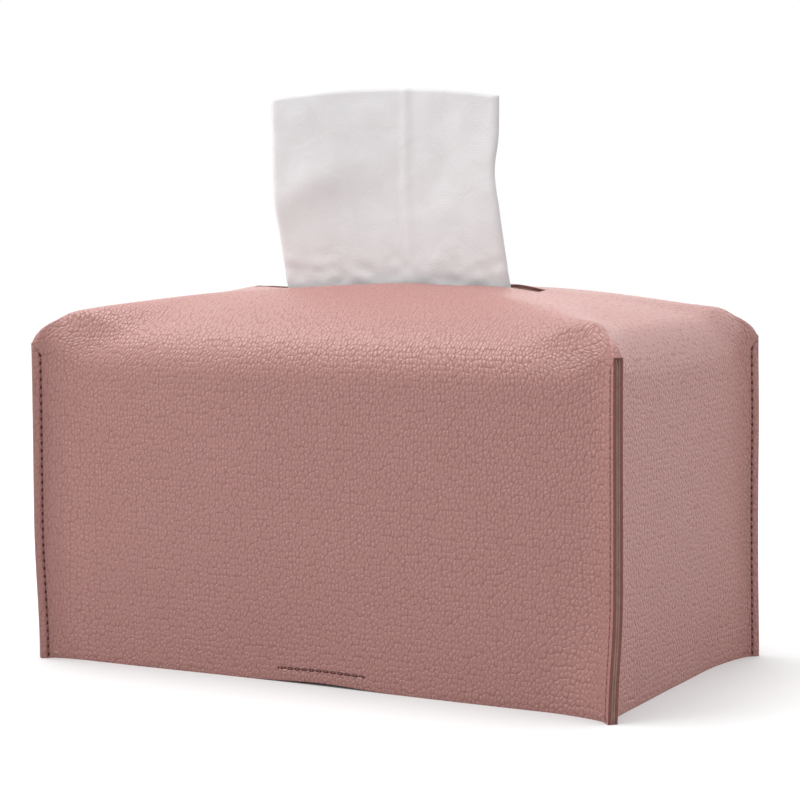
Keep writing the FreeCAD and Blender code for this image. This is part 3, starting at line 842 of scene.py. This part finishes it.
def model_belt(name, side, climbs):
    """A strap drawn out along its path from one edge, rounded at the tip and given its thickness."""
    path = belt_path(side, climbs)
    bpy.ops.mesh.primitive_plane_add(size=1.0, location=(0, 0, 0))
    made = bpy.context.object
    made.name = name
    bpy.ops.object.mode_set(mode="EDIT")
    bpy.ops.transform.resize(value=(belt_width, belt_width, 1.0))
    choose(made, "VERT", lambda vertex: vertex.co.y < 0)
    bpy.ops.mesh.delete(type="VERT")
    bpy.ops.mesh.select_all(action="SELECT")
    bpy.ops.mesh.subdivide(number_cuts=9)
    first = path[0] + Vector((belt_row_middle, -belt_width / 2, 0))
    bpy.ops.transform.translate(value=first)
    for last, point in zip(path, path[1:]):
        bpy.ops.mesh.extrude_edges_move(TRANSFORM_OT_translate={"value": point - last})
    bpy.ops.object.mode_set(mode="OBJECT")
    tip = path[-1].y
    for vertex in made.data.vertices:
        from_tip = abs(vertex.co.y - tip)
        if from_tip < belt_tip_radius and abs(vertex.co.y) < half_depth / 2:
            drop = belt_tip_radius - from_tip
            narrow = belt_tip_radius - math.sqrt(belt_tip_radius ** 2 - drop ** 2)
            vertex.co.x = belt_row_middle + (vertex.co.x - belt_row_middle) * (1 - narrow / (belt_width / 2))
    bpy.ops.object.mode_set(mode="EDIT")
    bpy.ops.mesh.select_all(action="SELECT")
    bpy.ops.mesh.normals_make_consistent(inside=False)
    bpy.ops.object.mode_set(mode="OBJECT")
    made.data.materials.append(strap_finish)
    made.data.materials.append(edge_finish)
    thicken(made, belt_thickness, 0, edge=1)
    apply_modifiers(made)
    bpy.ops.object.shade_smooth_by_angle(angle=crisp_angle)
    return made


strap_finish, tree, shader, colour, gloss, height = leather_finish("strap_leather", None)
give_surface(tree, shader, colour, gloss, height, 0.8, 0.0005)
for face, side, climbs in (("front", -1, False), ("back", 1, True)):
    belt = model_belt(face + "_strap", side, climbs)
    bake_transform(belt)
    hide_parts(face + "_belt_tab", face + "_belt")


# Belt stitches
# One short row of the same thread through each wall and the tab behind it, close above the hem.
# The thread's loose ends stand out at both ends of the row.

tail_drop = 0.0007  # the loose ends lie this far below the row
belt_tails = ((belt_row_start + 0.0022, 0.15), (belt_row_end - 0.0012, -0.25))  # place and slope
belt_stitch_count = round((belt_row_end - belt_row_start) / stitch_pitch)


def belt_places(side):
    """Where the stitches of one belt lie: a row on the wall's outer face and one on the tab inside."""
    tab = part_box("front_belt_tab" if side < 0 else "back_belt_tab")
    inner_y = tab[1].y if side < 0 else tab[0].y
    for index in range(belt_stitch_count):
        x = belt_row_start + (index + 0.5) * stitch_pitch
        on_wall = shaped(Vector((x, side * half_depth, belt_row_height)))
        yield facing(on_wall - Vector((0, stitch_sink * side, 0)), Vector((1, 0, 0)), Vector((0, side, 0)))
        yield facing(Vector((x, inner_y, belt_row_height)), Vector((1, 0, 0)), Vector((0, -side, 0)))


for face, side in (("front", -1), ("back", 1)):
    tails = []
    for x, slope in belt_tails:
        spot = shaped(Vector((x, side * half_depth, belt_row_height - tail_drop)))
        tails.append(facing(spot, Vector((1, 0, slope)), Vector((0, side, 0))))
    row = sew(face + "_belt_thread", seam_stitch, belt_places(side), tails)
    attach(row, "cover")
    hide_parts(face + "_belt_stitches")


# Hook and loop pads
# The two straps close on each other: a woven loop tape lies on top of the front strap and a hook tape under
# the back one. Both are cut with round corners and sewn on all round with the leather's thread.

pad_corner = 0.002
pad_rim = 0.00025
pad_row_inset = 0.0004  # from the edge of the stitches' node to the middle of the row


def model_pad(name, node):
    """A pad with rounded corners and softened rims, in the place of its node."""
    low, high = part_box(node)
    bpy.ops.mesh.primitive_cube_add(size=1.0, location=(low + high) / 2, scale=high - low)
    made = bpy.context.object
    made.name = name
    bpy.ops.object.transform_apply(location=True, rotation=True, scale=True)
    bpy.ops.object.mode_set(mode="EDIT")
    choose(made, "EDGE", length_between(0.0, 0.002, 2))
    bpy.ops.mesh.bevel(offset=pad_corner, offset_type="OFFSET", segments=5, affect="EDGES")
    bpy.ops.object.mode_set(mode="OBJECT")
    round_rim(made, pad_rim, 30)
    apply_modifiers(made)
    bpy.ops.object.shade_smooth_by_angle(angle=crisp_angle)
    return made


def pad_finish(name, light, dark, scale):
    """A woven nap tape: a fine nap over the weave of its ground."""
    material, tree, shader = new_material(name)
    nap = add(tree, "ShaderNodeTexVoronoi", {"Vector": own_place(tree), "Scale": scale},
              feature="SMOOTH_F1").outputs["Distance"]
    colour = mixed(tree, graded(tree, nap, (0.0, 0.7), (0.0, 1.0)), light, dark)
    rough = graded(tree, nap, (0.0, 1.0), (0.6, 0.9))
    give_surface(tree, shader, colour, rough, nap, 0.8, 0.0004, invert=True)
    return material


pad_kinds = {"loop": ("front_belt", (0.50, 0.30, 0.27, 1), (0.22, 0.11, 0.10, 1), 1300.0),
             "hook": ("back_belt", (0.42, 0.24, 0.21, 1), (0.16, 0.08, 0.07, 1), 900.0)}
for kind, (body, light, dark, scale) in pad_kinds.items():
    pad = model_pad(kind + "_tape", kind + "_pad")
    pad.data.materials.append(pad_finish(kind + "_nap", light, dark, scale))
    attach(pad, body)
    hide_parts(kind + "_pad")
    low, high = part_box(kind + "_pad_stitches")
    face_z = high.z if kind == "loop" else low.z
    out = Vector((0, 0, -1 if kind == "loop" else 1))
    places = []
    for along, across in ((0, 1), (1, 0)):
        count = round((high[along] - low[along]) / stitch_pitch)
        run = Vector((1 - along, along, 0))
        for line in (low[across] + pad_row_inset, high[across] - pad_row_inset):
            for index in range(count):
                origin = Vector((line, line, face_z))
                origin[along] = low[along] + (index + 0.5) * (high[along] - low[along]) / count
                places.append(facing(origin, run, out))
    row = sew(kind + "_tape_thread", seam_stitch, places)
    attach(row, body)
    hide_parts(kind + "_pad_stitches")
bpy.data.objects.remove(seam_stitch)
bpy.data.objects.remove(thread_end)


# Tissue
# The top sheet of the box, drawn halfway through the slot: thin creped paper folded in three, so that
# a middle crease runs up its front and two flaps lie behind. The slot's lips hold it upright.

tissue_flat = (0.200, 0.100)
paper_thickness = 0.00018
tissue_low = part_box("tissue")[0].z
tissue_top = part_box("tissue")[1].z
tissue_middle = (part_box("tissue")[0].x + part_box("tissue")[1].x) / 2
tissue_shift = -0.0024  # the free part stands this far off the middle of the part below
tissue_drift = 0.0050  # and comes back by this much on the way down into the slot
drift_start = 0.62  # from this height on. Heights here are shares of the sheet's
tissue_fold = 0.0011  # half the distance between the front layer and the flaps
lip_height = 0.22  # the slot's lips hold the paper up to here
crease_place = 0.0085  # the crease up the front, from the middle
crease_stand = 0.0034  # it stands this much further back than the side edges
crease_round = 0.0008
ridge_height = 0.0007  # the pressed ridge along the crease
ridge_width = 0.0020
left_lean = 0.0040  # left of the crease the paper leans forward by this much
lean_middle = 0.45  # about this height
dent_middle = (-0.035, 0.62)  # a slanting dent in the left half
dent_slope = 0.45
dent_depth = 0.0011
dent_width = 0.008
dent_fade = 0.03  # it runs out over this distance toward the middle
wave_depth = 0.0011  # the paper's long waves,
ripple_depth = 0.0004  # the short ones across them
crumple_depth = 0.0007  # and the crumpled part just above the lips
corner_drop = 0.0032  # the upper corners hang by this much, the right one by a little more
notch_depth = 0.0016  # the right edge is drawn in by this much
notch_height = 0.70  # at this height
right_trim = 0.0012  # and by this much all the way up

bpy.ops.mesh.primitive_grid_add(x_subdivisions=160, y_subdivisions=72, size=1.0, location=(0, 0, 0))
tissue = bpy.context.object
tissue.name = "tissue_sheet"
bpy.ops.object.mode_set(mode="EDIT")
bpy.ops.transform.resize(value=(tissue_flat[0], tissue_flat[1], 1.0))
bpy.ops.object.mode_set(mode="OBJECT")
half_front = tissue_flat[0] / 4
for vertex in tissue.data.vertices:
    over, up = vertex.co.x, vertex.co.y / tissue_flat[1] + 0.5
    side = math.copysign(1, over)
    behind = abs(over) > half_front
    x = side * (2 * half_front - abs(over)) if behind else over
    turn = smooth((abs(over) - half_front + 2 * tissue_fold) / (4 * tissue_fold))
    y = tissue_fold * (2 * turn - 1)
    free = smooth((up - lip_height) / 0.5)
    slant = math.hypot(x - crease_place, crease_round) / half_front
    y += crease_stand * (1 - slant) * (0.25 + 0.75 * free) * (0.6 if behind else 1.0)
    y -= ridge_height * math.exp(-((x - crease_place) / ridge_width) ** 2) * (0.4 + 0.6 * free)
    if x < crease_place:
        y -= left_lean * (up - lean_middle) * smooth(slant) * free
    off_dent = (up - dent_middle[1]) * tissue_flat[1] - dent_slope * (x - dent_middle[0])
    y -= dent_depth * math.exp(-(off_dent / dent_width) ** 2) * smooth(-x / dent_fade) * free
    wave = noise.noise(Vector((x * 34, 0.4 + 0.8 * side * behind, up * 2.2)))
    ripple = noise.noise(Vector((x * 90 + up * 3, 5.1, up * 8.0 - x * 30)))
    crumple = noise.noise(Vector((x * 150, 9.3, up * 22.0)))
    near_lip = smooth((up - 0.20) / 0.06) * smooth((0.42 - up) / 0.14)
    y += (wave_depth * wave + ripple_depth * ripple) * free + crumple_depth * crumple * near_lip
    hang = corner_drop * (1.0 if x < 0 else 1.2) * (x / half_front) ** 2
    z = tissue_low + (tissue_top - tissue_low) * up - hang * up * up
    drift = tissue_drift * min((max(drift_start - up, 0) / 0.35) ** 1.3, 1.25)
    to_right = max(x / half_front, 0)
    notch = notch_depth * math.exp(-((up - notch_height) / 0.09) ** 2) * to_right ** 3
    x += tissue_middle + tissue_shift + drift - notch - right_trim * to_right
    vertex.co = Vector((x, y, z))
bpy.ops.object.shade_smooth()
thicken(tissue, paper_thickness, 0)
apply_modifiers(tissue)

paper_white = (0.85, 0.842, 0.852, 1)
paper_shade = (0.755, 0.740, 0.748, 1)
paper_finish, tree, shader = new_material("creped_paper")
place = own_place(tree)
drawn = add(tree, "ShaderNodeMapping", {"Vector": place, "Scale": (1.0, 1.0, 3.0)}).outputs["Vector"]
crepe = cloudy(tree, drawn, 900.0, 4.0)
rumple = cloudy(tree, place, 90.0, 4.0, 0.8)
give_surface(tree, shader, mixed(tree, rumple, paper_shade, paper_white),
             graded(tree, crepe, (0.0, 1.0), (0.85, 1.0)), maths(tree, "MULTIPLY_ADD", crepe, 0.3, rumple),
             0.35, 0.0008)
shader["Specular IOR Level"].default_value = 0.15
tissue.data.materials.append(paper_finish)
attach(tissue, "tissue")
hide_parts("tissue")


# Floor, light and camera
# A plain pale floor with a soft shadow round the cover, a large soft light overhead and a weak one from the
# left. The floor glows evenly for the camera, less near the cover: that dimming is a painted shadow added to
# the one the lamps cast. They are there for the picture only.

floor_reach = 3.0
painted_shadow_reach = 0.06
bpy.ops.mesh.primitive_plane_add(size=2 * floor_reach, location=(0, 0, 0))
floor = bpy.context.object
floor.name = "studio_floor"
floor_finish, tree, shader = new_material("studio_floor")
shader["Base Color"].default_value = (0.52, 0.52, 0.52, 1)
shader["Roughness"].default_value = 0.9
shader["Specular IOR Level"].default_value = 0.0
shader["Emission Color"].default_value = (0.5, 0.5, 0.5, 1)
# The glow seen by the camera is dimmed near the cover: painted shadow.
seen = add(tree, "ShaderNodeLightPath").outputs["Is Camera Ray"]
glow_outside_painted_shadow = add(tree, "ShaderNodeAmbientOcclusion", {"Distance": painted_shadow_reach}).outputs["AO"]
tree.links.new(maths(tree, "MULTIPLY", seen, glow_outside_painted_shadow), shader["Emission Strength"])
floor.data.materials.append(floor_finish)

# The room is white, dimmer in front of the object than behind it.
world = bpy.data.worlds.new("studio")
bpy.context.scene.world = world
world.use_nodes = True
tree = world.node_tree
toward = add(tree, "ShaderNodeSeparateXYZ", {0: add(tree, "ShaderNodeTexCoord").outputs["Generated"]})
room = graded(tree, toward.outputs["Y"], (-1.0, 1.0), (0.38, 1.72))
seen = add(tree, "ShaderNodeLightPath").outputs["Is Camera Ray"]
backdrop = add(tree, "ShaderNodeMix", {"Factor": seen, 2: room, 3: 1.0}, data_type="FLOAT")
tree.links.new(backdrop.outputs[0], tree.nodes["Background"].inputs["Strength"])
tree.nodes["Background"].inputs["Color"].default_value = (1.0, 1.0, 1.0, 1)
bpy.context.scene.view_settings.view_transform = "Standard"


def soft_light(name, place, target, width, height, power):
    """A rectangular lamp that points at a target."""
    lamp = bpy.data.lights.new(name, "AREA")
    lamp.shape = "RECTANGLE"
    lamp.size = width
    lamp.size_y = height
    lamp.energy = power
    held = bpy.data.objects.new(name, lamp)
    held.location = place
    held.rotation_euler = (Vector(target) - Vector(place)).to_track_quat("-Z", "Y").to_euler()
    bpy.context.collection.objects.link(held)


soft_light("overhead", (-0.50, -0.28, 1.10), (0, 0, 0.10), 0.9, 0.9, 9.2)
soft_light("left_fill", (-0.8, -1.0, 0.45), (-0.10, 0, 0.08), 0.6, 0.6, 2.0)

camera_place = Vector((0.444, -0.808, 0.181))
camera_turn = math.radians(28.71)
camera_dip = math.radians(4.93)
camera_roll = math.radians(-0.17)
focal_pixels = 2366
image_pixels = 800
turned = (Matrix.Rotation(camera_turn, 4, "Z") @ Matrix.Rotation(math.pi / 2 - camera_dip, 4, "X")
          @ Matrix.Rotation(camera_roll, 4, "Z"))
lens = bpy.data.cameras.new("camera")
lens.sensor_width = 36.0
lens.lens = lens.sensor_width * focal_pixels / image_pixels
camera = bpy.data.objects.new("camera", lens)
camera.matrix_world = Matrix.Translation(camera_place) @ turned
bpy.context.collection.objects.link(camera)
bpy.context.scene.camera = camera
